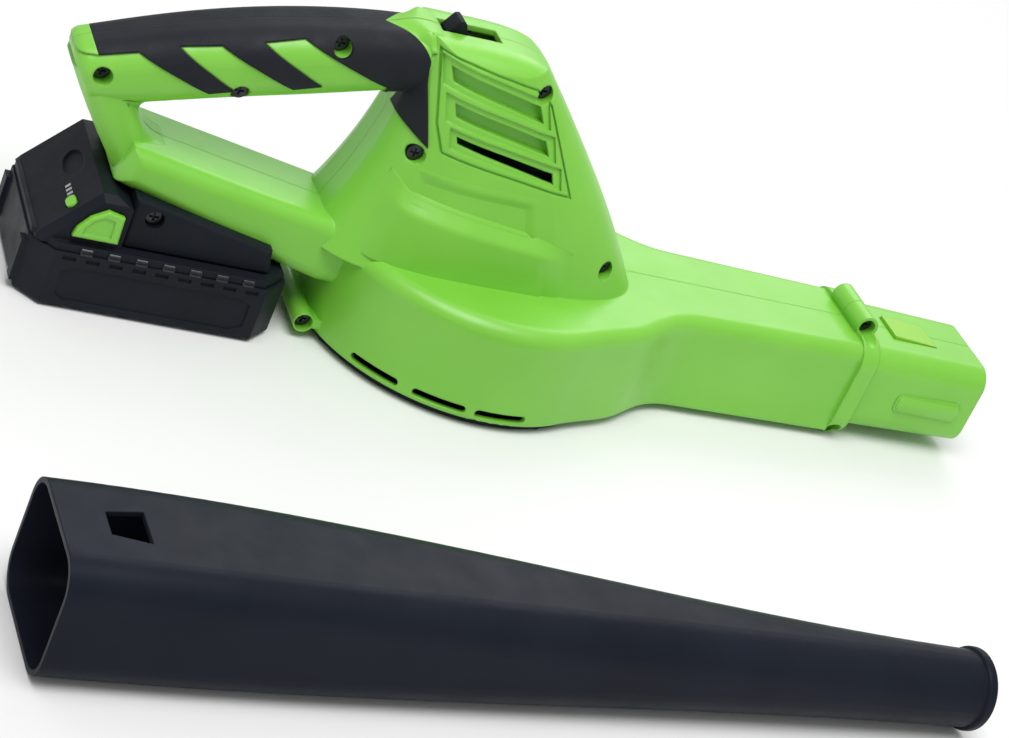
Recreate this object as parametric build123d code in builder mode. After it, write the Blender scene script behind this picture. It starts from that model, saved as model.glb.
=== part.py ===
"""Cordless leaf blower with its detached air tube, built as separate nodes in one frame.

X points forward along the duct, Y to the left, Z up. The origin is on the floor under the
centre of the fan. All lengths are millimetres and all angles degrees.
"""
import os
from functools import lru_cache
from math import cos, hypot, radians, sin

from build123d import *

# Mouldings, fits and fasteners
WALL = 2.6                # housing wall
BORE_PLAY = 0.02          # radial play of screws and shafts in their bores
SIDE_PLAY = 0.4           # play round sliding and pressed pieces
SCREW_R = 1.6
HEAD_R = 3.4
HEAD_H = 2.2
WELL_R = 4.0              # open well over a side screw
BOSS_R = 4.6
SCREW_DEEP = 6.0          # side screw heads sit this far inside the surface
SCREW_END = 3.0           # side screws stop this far short of the other side

# Fan housing, duct and outlet
VOL_R = 74.0
VOL_BOT = 3.0             # underside above the floor
VOL_TOP = 50.0            # crown above the floor
VOL_ROUND = 7.0           # rounding along the crown
FOOT_ROUND = 2.0          # rounding along the underside
FLARE_AT = 62.0           # the round wall leaves for the duct at this angle
FLARE_X = 66.0            # middle of the flare
FLARE_HALF = 51.0
NECK_X = 104.0            # the straight duct starts here
NECK_HALF = 32.0
DUCT_END = 188.0
DUCT_HALF = 29.0
COLLAR_LEN = 9.0
COLLAR_PROUD = 2.0
COLLAR_ROUND = 12.0
SPIGOT_LEN = 65.0
SPIGOT_STEP = 1.4         # the spigot starts this far inside the duct wall
SPIGOT_DRAFT = 1.4        # and narrows by this much on each side
SPIGOT_ROUND = 10.0
PAD_LEN = 36.0            # raised pads on the spigot sides
PAD_WIDE = 10.0
PAD_PROUD = 0.7
SLOT_WIDE = 24.0          # bleed slots low in the round wall
SLOT_HIGH = 3.6
SLOT_Z = 7.4

# Intake, fan and motor
GRILLE_GAP = 0.5          # gap round the intake grille
GRILLE_T = 3.4
FAN_R = 58.0
FAN_H = 28.0
FAN_EYE = 33.0            # radius of the opening in the lower shroud
FAN_BLADES = 11
BLADE_T = 1.8
HUB_R = 10.0
HUB_H = 24.0
NUT_H = 4.5
SHAFT_R = 2.5
MOUNT_R = 35.0
MOUNT_T = 3.0
FAN_DROP = 10.0           # fan back plate under the crown
MOTOR_R = 21.0
MOTOR_LEN = 43.4
MOTOR_WALL = 2.4
BEARING_R = 8.0
BEARING_T = 5.0
ROTOR_R = 14.5
ROTOR_LEN = 26.0
MOTOR_SCREW_X = 14.0

# Battery: five cells in a row set the size of the case
CELLS = 5
CELL_R = 9.2
CELL_LEN = 65.0
BAT_WALL = 2.5
CELL_ROOM = 2.0           # room beside the cells
END_ROOM = 7.0            # room before and behind the cells
BOARD_T = 1.6
BOARD_ROOM = 3.5          # room over the board
BAT_GAP = 18.0            # between the fan housing and the battery
BAT_CORNER = 10.0
PLATE_T = 3.4             # flat of the upper case
RAIL_HALF = 15.0          # neck of the slide rail
TEE_HALF = 20.0           # head of the slide rail
RAIL_LEN = 37.4

# Handle, tower and tube
STRUT_HALF = 24.0
STRUT_ROUND = 6.5
SHOE_HALF = 30.0
GRIP_PROUD = 0.7          # the soft grip stands this far off the housing
GRIP_DEEP = 1.5           # and is let into it by this much
SWITCH_X = -52.0
SWITCH_TRAVEL = 12.0
KNOB_LEN = 10.0
KNOB_HALF = 5.0
LATCH_LEN = 24.0
LATCH_HALF = 8.9
LATCH_X = 226.0
TUBE_LEN = 392.0
TUBE_WALL = 2.0
TUBE_FIT = 0.4            # play of the tube socket on the spigot
TUBE_END_R = 15.6
BEAD_R = 17.0             # bead round the outlet of the tube
BEAD_LEN = 5.0
TUBE_YAW = 2.5            # the tube lies almost in line with the duct
TUBE_X = -228.0
TUBE_Y = -248.0

# Levels and stations that follow from these
BAT_HALF = CELL_LEN / 2 + CELL_ROOM + BAT_WALL
BAT_LEN = CELLS * 2 * CELL_R + 2 * (END_ROOM + BAT_WALL)
BAT_FRONT = -(VOL_R + BAT_GAP)
BAT_REAR = BAT_FRONT - BAT_LEN
BAT_MID = (BAT_FRONT + BAT_REAR) / 2
BAT_TOP = BAT_WALL + 2 * CELL_R + BOARD_T + BOARD_ROOM
COLLAR_END = DUCT_END + COLLAR_LEN
SPIGOT_END = COLLAR_END + SPIGOT_LEN
FAN_TOP = VOL_TOP - FAN_DROP
MOTOR_Z = VOL_TOP + MOUNT_T
CAP_Z = MOTOR_Z + MOTOR_LEN
BORE_R = SCREW_R + BORE_PLAY
GRILLE_R = VOL_R - WALL - GRILLE_GAP


def crown(*points):
    """Side points whose heights are given from the crown of the fan housing."""
    return [(x, VOL_TOP + z) for x, z in points]


def aft(*points):
    """Side points given from the rear edge and the top of the lower battery case."""
    return [(BAT_REAR + x, BAT_TOP + z) for x, z in points]


def fore(*points):
    """Side points given from the front edge and the top of the lower battery case."""
    return [(BAT_FRONT + x, BAT_TOP + z) for x, z in points]


# Side screws: x, z and half width of the body there
SCREW_AT = (*aft((11.6, 69.2)),
            *crown((-101.6, 80.6), (-135.9, 51.5), (-58.4, 45.9), (-12.2, 82.9), (45.0, 12.0)))
SCREWS = tuple((x, z, half) for (x, z), half in zip(SCREW_AT, (14.0, 14.5, 17.5, 27.0, 20.0, 27.0)))
SHOE_SCREW = aft((47.0, 18.5))[0]
GRILLE_SCREWS = [(GRILLE_R * 0.949 * cos(radians(deg)), GRILLE_R * 0.949 * sin(radians(deg)))
                 for deg in (69, 160, 200, 291)]
BAT_SCREWS = [(x, y) for x in (BAT_REAR + 5.7, BAT_FRONT - 5.7) for y in (-25, 25)]

# Screwed bosses outside the wall: x, z, radius and half length
BOSSES = (
    (DUCT_END + COLLAR_LEN / 2, VOL_TOP + 3.8, 5.5, 15.0),
    (DUCT_END + COLLAR_LEN / 2, VOL_BOT + 1.6, 4.4, 24.0),
    (-VOL_R - 3.0, VOL_BOT + 4.8, 4.6, 26.0),
)
TOP_BOSS, REAR_BOSS = BOSSES[0], BOSSES[2]
SIDE_SCREWS = SCREWS + tuple((x, z, half) for x, z, _, half in BOSSES)

# Tower stations: height over the crown, rear x, nose x, half widths at the rear and at the side
TOWER = ((-6.0, -88.0, 73.0, 12.0, 39.0), (28.0, -74.0, 48.5, 11.0, 33.0),
         (62.0, -67.5, 18.5, 9.5, 27.0), (104.0, -66.0, -22.0, 8.0, 20.0))
# Rounded top of the tower: x and height over the crown; its flanks lean in like the tower's
ARCH = ((-90.0, 90.9), (-56.0, 94.2), (-34.0, 94.8), (-13.5, 92.4), (4.0, 79.5))
ARCH_ROUND = 13.0
LEAN = (TOWER[0][4] - TOWER[-1][4]) / (TOWER[-1][0] - TOWER[0][0])
# Grip stations: x, top over the crown, thickness, half width and lean of the section
GRIP = ((-44.0, 92.0, 27.0, 16.5, 17.3), (-83.7, 89.4, 27.0, 17.0, 17.3), (-118.8, 81.8, 29.5, 18.5, 17.3),
        (BAT_REAR + 45.3, 70.0, 29.5, 18.0, 17.3), (BAT_REAR + 15.0, 58.2, 27.5, 16.5, 22.0),
        (BAT_REAR - 2.5, 51.4, 25.0, 14.5, 32.0))
GRIP_END_ROUND = 5.0
VENTS = (crown((-56, 85.8), (-12.9, 78.3), (-9.1, 71.4), (-53.4, 79.8)),
         crown((-50, 71.7), (-5.4, 64.6), (-1.9, 58.5), (-47.7, 66)),
         crown((-45, 58.5), (2.3, 51.8), (4.2, 47.2), (-43.8, 55.4)))
VENT_FRAMES = (crown((-61, 89.5), (-9.5, 81), (-5.2, 69.5), (-57, 77.5)),
               crown((-55, 75), (-2, 67), (2, 56.5), (-51.5, 63.5)),
               crown((-49, 61.5), (5.5, 54.5), (8.5, 45.5), (-46.5, 53)))
PANEL = crown((-54.7, 39.7), (-1.4, 38.4), (3.7, 23.4), (-55.5, 29.5))
SKIRT = crown((-58, 0), (-57.5, 27.8), (11.7, 17.7), (16, 0))
GRIP_AREA = (*aft((-27, 69), (7.6, 76.5), (22.7, 82.2)), *crown(
    (-148.7, 48.6), (-138.9, 52.3), (-165.8, 64.5), (-149.4, 69.5), (-116.2, 58.8), (-105, 63),
    (-133.5, 74.9), (-117.4, 80.3), (-77.1, 67.9), (-75.6, 60.9), (-55, 50.4), (-62.5, 75),
    (-66.5, 100), (-66.5, 120)),
    (BAT_REAR - 27, VOL_TOP + 120))
BUTTON = aft((15.0, 6.8), (34.0, 6.8), (33.6, 19.2), (26.5, 20.8), (20.2, 16.6), (16.0, 10.8))
HUMP = aft((1.5, 1), (3, 4), (23, 26.4), (29, 26.4), (36.4, 22.6), (36.4, 1))
SLOPE = Plane(origin=(BAT_REAR + 13, 0, BAT_TOP + 15.2), x_dir=(0, 1, 0), z_dir=(-0.746, 0, 0.666))
GROOVE = crown((-62.5, 91.5), (-17, 85.5), (-7.5, 79.5), (14.8, 42.6), (-49.5, 50), (-55, 61))
GROOVE_WIDE = 0.9


def prism(points, y0, y1):
    """Prism of a side outline between two planes across the body."""
    with BuildPart() as p:
        with BuildSketch(Plane.XZ.offset(-y1)):
            with BuildLine():
                Polyline(*points, close=True)
            make_face()
        extrude(amount=y1 - y0)
    return p.part


def sided(points, side, inner, outer):
    """The same prism on one side of the body, from an inner to an outer distance."""
    return prism(points, inner, outer) if side > 0 else prism(points, -outer, -inner)


def block(x0, x1, y0, y1, z0, z1):
    with BuildPart() as p:
        with BuildSketch(Plane.XY.offset(z0)):
            with Locations(((x0 + x1) / 2, (y0 + y1) / 2)):
                Rectangle(x1 - x0, y1 - y0)
        extrude(amount=z1 - z0)
    return p.part


def peg(at, way, radius, length):
    """Round bar from a point along a direction."""
    with BuildPart() as p:
        with BuildSketch(Plane(origin=at, x_dir=(way[1], way[2], way[0]), z_dir=way)):
            Circle(radius)
        extrude(amount=length)
    return p.part


def ring(outer, inner, z0, z1):
    with BuildPart() as p:
        with BuildSketch(Plane.XY.offset(z0)):
            Circle(outer)
            if inner:
                Circle(inner, mode=Mode.SUBTRACT)
        extrude(amount=z1 - z0)
    return p.part


def section(x, half_w, z0, z1, radius):
    """Rounded rectangle across the duct at one station."""
    with BuildSketch(Plane(origin=(x, 0, (z0 + z1) / 2), x_dir=(0, 1, 0), z_dir=(1, 0, 0))) as s:
        RectangleRounded(2 * half_w, z1 - z0, radius)
    return s.sketch


def fan_case(inset=0.0):
    """Round fan housing that flows into the straight duct, with a rounded crown."""
    r, a = VOL_R - inset, radians(FLARE_AT)
    leave = (r * cos(a), r * sin(a))
    neck = (NECK_X, NECK_HALF - inset)
    end = (DUCT_END + 1, DUCT_HALF - inset)
    with BuildPart() as p:
        with BuildSketch(Plane.XY.offset(VOL_BOT + inset)):
            with BuildLine():
                ThreePointArc(leave, (-r * cos(a / 2), r * sin(a / 2)), (-r, 0))
                Spline(leave, (FLARE_X, FLARE_HALF - inset), neck,
                       tangents=((sin(a), -cos(a)), (end[0] - neck[0], end[1] - neck[1])))
                Polyline(neck, end, (end[0], 0), (-r, 0))
            make_face()
            mirror(about=Plane.XZ)
        extrude(amount=VOL_TOP - VOL_BOT - 2 * inset)
        sides = edges().filter_by(lambda e: e.center().X < DUCT_END - 5).group_by(Axis.Z)
        fillet(sides[-1], VOL_ROUND - inset)
        if not inset:
            fillet(edges().filter_by(lambda e: e.center().X < DUCT_END - 5).group_by(Axis.Z)[0], FOOT_ROUND)
    return p.part


def spigot(inset=0.0):
    over = 2.0 if inset else 0.0
    step, drawn = SPIGOT_STEP + inset, SPIGOT_STEP + SPIGOT_DRAFT + inset
    round_ = SPIGOT_ROUND - inset
    with BuildPart() as p:
        add(section(DUCT_END - over, DUCT_HALF - step, VOL_BOT + step, VOL_TOP - step, round_))
        add(section(SPIGOT_END + over, DUCT_HALF - drawn, VOL_BOT + drawn, VOL_TOP - drawn, round_))
        loft(ruled=True)
    return p.part


@lru_cache
def tower(inset=0.0):
    """Body above the fan: level sections with a rounded nose and rear under a rounded top."""
    with BuildPart() as top:
        foot, wide = TOWER[0][0] - 20, TOWER[0][4] + 1 - inset + 20 * LEAN
        for x, up in ARCH:
            peak = up - inset
            half = wide - (peak - foot) * LEAN
            with BuildSketch(Plane(origin=(x, 0, VOL_TOP), x_dir=(0, 1, 0), z_dir=(1, 0, 0))):
                with BuildLine():
                    Polyline((wide, foot), (half, peak), (-half, peak), (-wide, foot), close=True)
                make_face()
                fillet(vertices().group_by(Axis.Z)[-1], ARCH_ROUND - inset)
        loft(ruled=False)
        add(block(ARCH[-1][0] - 0.5, NECK_X, -2 * VOL_R, 2 * VOL_R, 0, VOL_TOP + ARCH[-1][1] - 8))
    with BuildPart() as p:
        for up, rear, nose, rear_w, side_w in TOWER:
            r, n, a, b = rear + inset, nose - inset * 1.25, rear_w - inset, side_w - inset
            s = n - (n - r) * 0.30
            m = r + (s - r) * 0.32
            with BuildSketch(Plane.XY.offset(VOL_TOP + up)):
                with BuildLine():
                    Line((r, a), (r, -a))
                    Spline((r, -a), (m, -b + 0.8), (s, -b), tangents=((0.25, -1), (1, 0)))
                    Spline((s, -b), (n, 0), (s, b), tangents=((1, 0.12), (-1, 0.12)))
                    Spline((s, b), (m, b - 0.8), (r, a), tangents=((-1, 0), (-0.25, -1)))
                make_face()
        loft(ruled=False)
        add(top.part, mode=Mode.INTERSECT)
    return p.part


def bar(stations, inset):
    """Loft of rounded sections; each station is its two edge points seen from the side and a half width."""
    with BuildPart() as p:
        for (ax, az), (bx, bz), half in stations:
            h = hypot(ax - bx, az - bz)
            along = ((az - bz) / h, 0, -(ax - bx) / h)
            with BuildSketch(Plane(origin=((ax + bx) / 2, 0, (az + bz) / 2), x_dir=(0, 1, 0), z_dir=along)):
                RectangleRounded(2 * (half - inset), h - 2 * inset, min(h, 2 * half) * 0.40 - inset)
        loft(ruled=False)
    return p.part


@lru_cache
def handle(inset=0.0):
    """Rising grip and the rear upright below it."""
    rows = []
    for i, (x, up, h, half, lean) in enumerate(GRIP):
        ux, uz = sin(radians(lean)), cos(radians(lean))
        cut = inset if i == len(GRIP) - 1 else 0.0
        x, z = x + uz * cut, VOL_TOP + up + ux * cut
        rows.append(((x, z), (x + h * ux, z - h * uz), half))
    upright = ((*aft((17, 78), (0.5, 68)), 14.0), (*aft((30.5, 57), (13.5, 48.5)), 15.0),
               (*aft((43, 38), (28.5, 29)), 16.0))
    with BuildPart() as p:
        add(bar(rows, inset))
        fillet(faces().sort_by(Axis.X)[0].edges(), GRIP_END_ROUND - inset)
        add(bar(upright, inset))
    return p.part


@lru_cache
def strut(inset=0.0):
    """Lower bar of the handle, from the rear upright into the fan housing."""
    front = -VOL_R + 14 if not inset else -VOL_R - 1
    with BuildPart() as p:
        with BuildSketch(Plane.XZ):
            with BuildLine():
                Polyline(*aft((32, 44.3)), *fore((4, 31), (32, 26.6), (32, 0), (14.5, 0.2), (-7.7, 5.5)),
                         *aft((28.4, 27.5)), close=True)
            make_face()
            if inset:
                offset(amount=-inset)
        extrude(amount=STRUT_HALF - inset, both=True)
        fillet(edges().group_by(Axis.Y)[0] + edges().group_by(Axis.Y)[-1], STRUT_ROUND - inset)
        add(block(front, 0, -VOL_R, VOL_R, 0, 3 * VOL_TOP), mode=Mode.SUBTRACT)
    return p.part


def grip_layer():
    """Soft layer let into the handle and the rear of the tower, with wells for the screws."""
    with BuildPart() as p:
        add([tower(-GRIP_PROUD), handle(-GRIP_PROUD)])
        add(prism(GRIP_AREA, -2 * VOL_R, 2 * VOL_R), mode=Mode.INTERSECT)
        add([tower(GRIP_DEEP), handle(GRIP_DEEP)], mode=Mode.SUBTRACT)
        add([peg((x, -VOL_R, z), (0, 1, 0), WELL_R, VOL_R - half + SCREW_DEEP) for x, z, half in SCREWS],
            mode=Mode.SUBTRACT)
    return p.part


def layer(points, proud, deep):
    """Skin of the tower inside a side outline, on both sides."""
    with BuildPart() as p:
        add(tower(-proud))
        add([prism(points, 8, VOL_R), prism(points, -VOL_R, -8)], mode=Mode.INTERSECT)
        add(tower(deep), mode=Mode.SUBTRACT)
    return p.part


SWITCH_TOP = VOL_TOP + ARCH[1][1]


def roof(x):
    """Height of the spigot top at one station."""
    return VOL_TOP - SPIGOT_STEP - SPIGOT_DRAFT * (x - DUCT_END) / (SPIGOT_END - DUCT_END)


def outer_body():
    """Closed outer form of the two housing halves."""
    with BuildPart() as p:
        add([fan_case(), spigot(), strut(), tower(), handle(), layer(SKIRT, 1.2, 1.0)])
        add(section(DUCT_END, DUCT_HALF + COLLAR_PROUD, VOL_BOT - COLLAR_PROUD, VOL_TOP + COLLAR_PROUD,
                    COLLAR_ROUND))
        extrude(amount=COLLAR_LEN, dir=(1, 0, 0))
        add([peg((x, -half, z), (0, 1, 0), radius, 2 * half) for x, z, radius, half in BOSSES])
        x, z, radius, half = TOP_BOSS
        add(block(x - radius + 1.5, x + radius - 1.5, -half, half, VOL_TOP - 1, z))
        x, z, radius, half = REAR_BOSS
        add(block(x, x + 14, -half, half, z - 2, z + 2))
        add(block(BAT_REAR + 40, BAT_REAR + 65, -12, 12, BAT_TOP + 14.5, BAT_TOP + 26))
        for side in (-1, 1):
            with BuildSketch(Plane.XZ.offset(-side * (DUCT_HALF - SPIGOT_STEP - SPIGOT_DRAFT))):
                with Locations((SPIGOT_END - PAD_LEN / 2 - 8, (VOL_TOP + VOL_BOT) / 2 - 2)):
                    RectangleRounded(PAD_LEN, PAD_WIDE, 3.0)
                    RectangleRounded(PAD_LEN - 6, PAD_WIDE - 6, 1.5, mode=Mode.SUBTRACT)
            extrude(amount=-side * (SPIGOT_DRAFT / 2 + PAD_PROUD))
    return p.part


def inner_room():
    """Space inside the housing: fan chamber and air way, and the rooms of the tower and the handle."""
    with BuildPart() as above:
        add(tower(WALL))
        add(block(-2 * VOL_R, 2 * VOL_R, -VOL_R, VOL_R, 0, VOL_TOP), mode=Mode.SUBTRACT)
    with BuildPart() as p:
        add([fan_case(WALL), spigot(WALL), above.part, strut(WALL), handle(WALL)])
        add(ring(GRILLE_R + GRILLE_GAP, 0, VOL_BOT - 5, VOL_BOT + WALL + 1))
        add(ring(MOUNT_R - 2, 0, VOL_TOP - WALL - 1, VOL_TOP + 1))
    return p.part


def inner_ribs(room):
    """Motor clamp, switch holder, vent screens and screw bosses, grown out to the inner walls."""
    low, high = MOTOR_Z + 26, SWITCH_TOP - 22
    with BuildPart() as p:
        add(block(-30, 26, -36, 36, low, low + 3))
        add(ring(MOTOR_R + BORE_PLAY, 0, low - 1, low + 4), mode=Mode.SUBTRACT)
        for x in (SWITCH_X - 12, SWITCH_X + 25.4):
            add(block(x, x + 2.6, -22, 22, high, high + 12))
        add(block(SWITCH_X - 14, SWITCH_X + 30, -9.4, 9.4, high - 2, high + 14), mode=Mode.SUBTRACT)
        for y in (-13, 13):
            add(block(-52, 4, y - 1, y + 1, VOL_TOP + 57, SWITCH_TOP + 4))
        add([peg((x, -half - 9, z), (0, 1, 0), BOSS_R, 2 * half + 18) for x, z, half in SCREWS])
        add(room, mode=Mode.INTERSECT)
    return p.part


def bleed_slots():
    with BuildPart() as p:
        for deg in (226, 250, 272, 134, 110, 88):
            way = (cos(radians(deg)), sin(radians(deg)), 0)
            at = (VOL_R * way[0], VOL_R * way[1], SLOT_Z)
            with BuildSketch(Plane(origin=at, x_dir=(-way[1], way[0], 0), z_dir=way)):
                SlotOverall(SLOT_WIDE, SLOT_HIGH)
        extrude(amount=VOL_R * 0.12, both=True)
    return p.part


def seam():
    """Fine groove round the vents on both flanks of the tower."""
    with BuildSketch(Plane.XZ) as outline:
        with BuildLine():
            Polyline(*GROOVE, close=True)
        make_face()
        offset(amount=-GROOVE_WIDE, mode=Mode.SUBTRACT)
    with BuildPart() as p:
        extrude(outline.sketch, amount=VOL_R, both=True)
        add(tower(-3.0), mode=Mode.INTERSECT)
        add([tower(0.8), block(-VOL_R, VOL_R, -8, 8, 0, 4 * VOL_TOP)], mode=Mode.SUBTRACT)
    return p.part


def housing_cuts(grip):
    """Everything that is taken out of the closed housing."""
    cuts = [grip, bleed_slots(), seam(), layer(PANEL, 3.0, 1.2)]
    cuts += [layer(frame, 3.0, 1.0) for frame in VENT_FRAMES]
    cuts += [prism(vent, *span) for vent in VENTS for span in ((-VOL_R, -8), (8, VOL_R))]
    for x, z, half in SIDE_SCREWS:
        cuts.append(peg((x, SCREW_DEEP - half, z), (0, 1, 0), BORE_R, 2 * half - SCREW_DEEP - SCREW_END))
        cuts.append(peg((x, -VOL_R, z), (0, 1, 0), WELL_R, VOL_R - half + SCREW_DEEP))
    cuts += [peg((x, y, VOL_BOT), (0, 0, 1), BORE_R, 13) for x, y in GRILLE_SCREWS]
    x, z = SHOE_SCREW
    cuts += [peg((x, 13 * side, z), (0, -side, 0), BORE_R, 10) for side in (-1, 1)]
    front, half = SWITCH_X + KNOB_LEN / 2 + SWITCH_TRAVEL + 2.5, KNOB_HALF + 0.6
    cuts.append(block(SWITCH_X - KNOB_LEN / 2 - 2.5, front, -half, half, SWITCH_TOP - 5, SWITCH_TOP + 10))
    room = LATCH_LEN / 2 + SIDE_PLAY
    cuts.append(block(LATCH_X - room, LATCH_X + room, -LATCH_HALF - SIDE_PLAY, LATCH_HALF + SIDE_PLAY,
                      VOL_TOP - 10, VOL_TOP + 5))
    return cuts


def housing_shell(grip):
    """Both halves in one, before they are parted on the mid plane."""
    room = inner_room()
    with BuildPart() as p:
        add(outer_body())
        add(room, mode=Mode.SUBTRACT)
        add(inner_ribs(room))
        add([peg((x, y, GRILLE_T + 0.2), (0, 0, 1), BOSS_R, 18) for x, y in GRILLE_SCREWS])
        add(housing_cuts(grip), mode=Mode.SUBTRACT)
    return p.part


def half_of(part, side):
    with BuildPart() as p:
        add(part)
        split(bisect_by=Plane.XZ, keep=Keep.BOTTOM if side > 0 else Keep.TOP)
    return p.part


def screw(at, way, length, head=HEAD_R):
    """Pan head screw with a cross recess: the head starts at the point."""
    face = Plane(origin=at, x_dir=(way[1], way[2], way[0]), z_dir=way)
    with BuildPart() as p:
        with BuildSketch(face):
            Circle(head)
        extrude(amount=HEAD_H)
        with BuildSketch(face.offset(HEAD_H)):
            Circle(SCREW_R)
        extrude(amount=length - HEAD_H)
        with BuildSketch(face):
            Rectangle(4.0, 0.9)
            Rectangle(0.9, 4.0)
        extrude(amount=1.1, mode=Mode.SUBTRACT)
    return p.part


def intake_grille():
    with BuildPart() as p:
        with BuildSketch():
            Circle(GRILLE_R)
        extrude(amount=GRILLE_T)
        fillet(edges().group_by(Axis.Z)[0], 1.2)
        with BuildSketch():
            for radius, count in ((20, 12), (31, 20), (42, 28)):
                with PolarLocations(radius, count):
                    RectangleRounded(8, 3.4, 1.6)
            with Locations(*GRILLE_SCREWS):
                Circle(BORE_R)
        extrude(amount=GRILLE_T, mode=Mode.SUBTRACT)
        with BuildSketch():
            with Locations(*GRILLE_SCREWS):
                Circle(HEAD_R)
        extrude(amount=HEAD_H, mode=Mode.SUBTRACT)
    return p.part


def impeller():
    low = FAN_TOP - FAN_H
    with BuildPart() as p:
        add([ring(FAN_R, SHAFT_R, FAN_TOP - 2.5, FAN_TOP), ring(HUB_R, SHAFT_R, FAN_TOP - HUB_H, FAN_TOP),
             ring(FAN_R, FAN_EYE, low, low + 2)])
        with BuildSketch(Plane.XY.offset(low + 1)):
            with BuildLine(mode=Mode.PRIVATE) as camber:
                ThreePointArc((FAN_R - 32, 0), (FAN_R - 15, 4), (FAN_R - 2, 16))
            with BuildSketch(mode=Mode.PRIVATE) as blade:
                trace(camber.line, BLADE_T)
            for i in range(FAN_BLADES):
                add(blade.sketch, rotation=360 / FAN_BLADES * i)
        extrude(amount=FAN_H - 3)
    return p.part


def fan_nut():
    with BuildPart() as p:
        with BuildSketch(Plane.XY.offset(FAN_TOP - HUB_H - NUT_H)):
            RegularPolygon(4.6, 6)
            Circle(SHAFT_R, mode=Mode.SUBTRACT)
        extrude(amount=NUT_H)
    return p.part


def motor_holes():
    return [peg((x, 0, VOL_TOP - 8), (0, 0, 1), BORE_R, 20) for x in (-MOTOR_SCREW_X, MOTOR_SCREW_X)]


def motor_mount():
    with BuildPart() as p:
        add(ring(MOUNT_R, BEARING_R + 1, VOL_TOP, MOTOR_Z))
        add(motor_holes(), mode=Mode.SUBTRACT)
    return p.part


def motor_can():
    floor = MOTOR_Z + 2
    with BuildPart() as p:
        add([ring(MOTOR_R, MOTOR_R - MOTOR_WALL, MOTOR_Z, CAP_Z),
             ring(MOTOR_R, SHAFT_R + 0.7, MOTOR_Z, floor),
             ring(BEARING_R + 2, BEARING_R, floor, floor + BEARING_T),
             ring(BEARING_R + 1, SHAFT_R + 0.7, VOL_TOP, MOTOR_Z)])
        add(motor_holes(), mode=Mode.SUBTRACT)
    return p.part


def motor_end_cap():
    seat = BEARING_R - 1
    with BuildPart() as p:
        add([ring(MOTOR_R, seat, CAP_Z, CAP_Z + 2), ring(MOTOR_R, SHAFT_R + 0.4, CAP_Z + 2, CAP_Z + 4.5),
             ring(seat + 2.5, seat, CAP_Z + 2 - BEARING_T, CAP_Z)])
    return p.part


def switch_slider():
    rear, front = SWITCH_X - KNOB_LEN / 2, SWITCH_X + KNOB_LEN / 2
    low = SWITCH_TOP - WALL - SIDE_PLAY
    with BuildPart() as p:
        add(block(rear, front, -KNOB_HALF, KNOB_HALF, low - 1, SWITCH_TOP + 7))
        fillet(edges().group_by(Axis.Z)[-1], 1.6)
        with BuildSketch(Plane.XY.offset(SWITCH_TOP + 6.4)):
            with GridLocations(2.5, 1, 3, 1):
                Rectangle(1.0, 2 * KNOB_HALF + 2)
        extrude(amount=3, mode=Mode.SUBTRACT)
        add(block(rear - 3, front + 5, -KNOB_HALF - 2.5, KNOB_HALF + 2.5, low - 3.2, low))
        add(block(SWITCH_X - 1, SWITCH_X + 1, -1.5, 1.5, low - 9, low - 1))
    return p.part


def switch_body():
    top = SWITCH_TOP - WALL - SIDE_PLAY - 3.4
    with BuildPart() as p:
        add(block(SWITCH_X - 10, SWITCH_X + 25, -9, 9, top - 15.4, top))
        add(block(SWITCH_X - 2, SWITCH_X + SWITCH_TRAVEL + 2, -2, 2, top - 7, top + 2), mode=Mode.SUBTRACT)
    return p.part


def battery_shoe():
    """Rail block under the strut that the battery slides into."""
    with BuildPart() as p:
        add(prism((*aft((37, 4.4), (37, 27)), *fore((-11, 14.5), (-9, 4.4))), -SHOE_HALF, SHOE_HALF))
        rim = edges().filter_by(lambda e: e.center().Z > BAT_TOP + 9)
        fillet(rim.group_by(Axis.Y)[0] + rim.group_by(Axis.Y)[-1], 2.5)
        add([strut(), handle()], mode=Mode.SUBTRACT)
        x = BAT_REAR + 35 + RAIL_LEN
        neck, head = RAIL_HALF + SIDE_PLAY, TEE_HALF + SIDE_PLAY
        add([block(BAT_REAR + 40, BAT_REAR + 65, -12, 12, BAT_TOP + 12, BAT_TOP + 28),
             block(BAT_REAR + 33, x + 0.6, -neck, neck, BAT_TOP + 4, BAT_TOP + 8),
             block(BAT_REAR + 33, x + 0.6, -head, head, BAT_TOP + 7.5 - SIDE_PLAY, BAT_TOP + 11 + SIDE_PLAY),
             block(x, x + 8.6, -12, 12, BAT_TOP + 7.1, BAT_TOP + 11)], mode=Mode.SUBTRACT)
        x, z = SHOE_SCREW
        for side in (-1, 1):
            start = (x, side * (SHOE_HALF + 1), z)
            add([peg(start, (0, -side, 0), radius, deep) for radius, deep in ((WELL_R, 6.2), (BORE_R, 20))],
                mode=Mode.SUBTRACT)
    return p.part


def terminal_block():
    x = BAT_REAR + 35 + RAIL_LEN
    with BuildPart() as p:
        add(block(x + 0.2, x + 8.6, -12, 12, BAT_TOP + 7.1, BAT_TOP + 11))
        add(contact_blades(), mode=Mode.SUBTRACT)
    return p.part


def contact_blades():
    x = BAT_REAR + 35 + RAIL_LEN
    with BuildPart() as p:
        add([block(x - 10.4, x + 7.6, y - 0.5, y + 0.5, BAT_TOP + 8.3, BAT_TOP + 10.3) for y in (-8, 8)])
    return p.part


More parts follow.
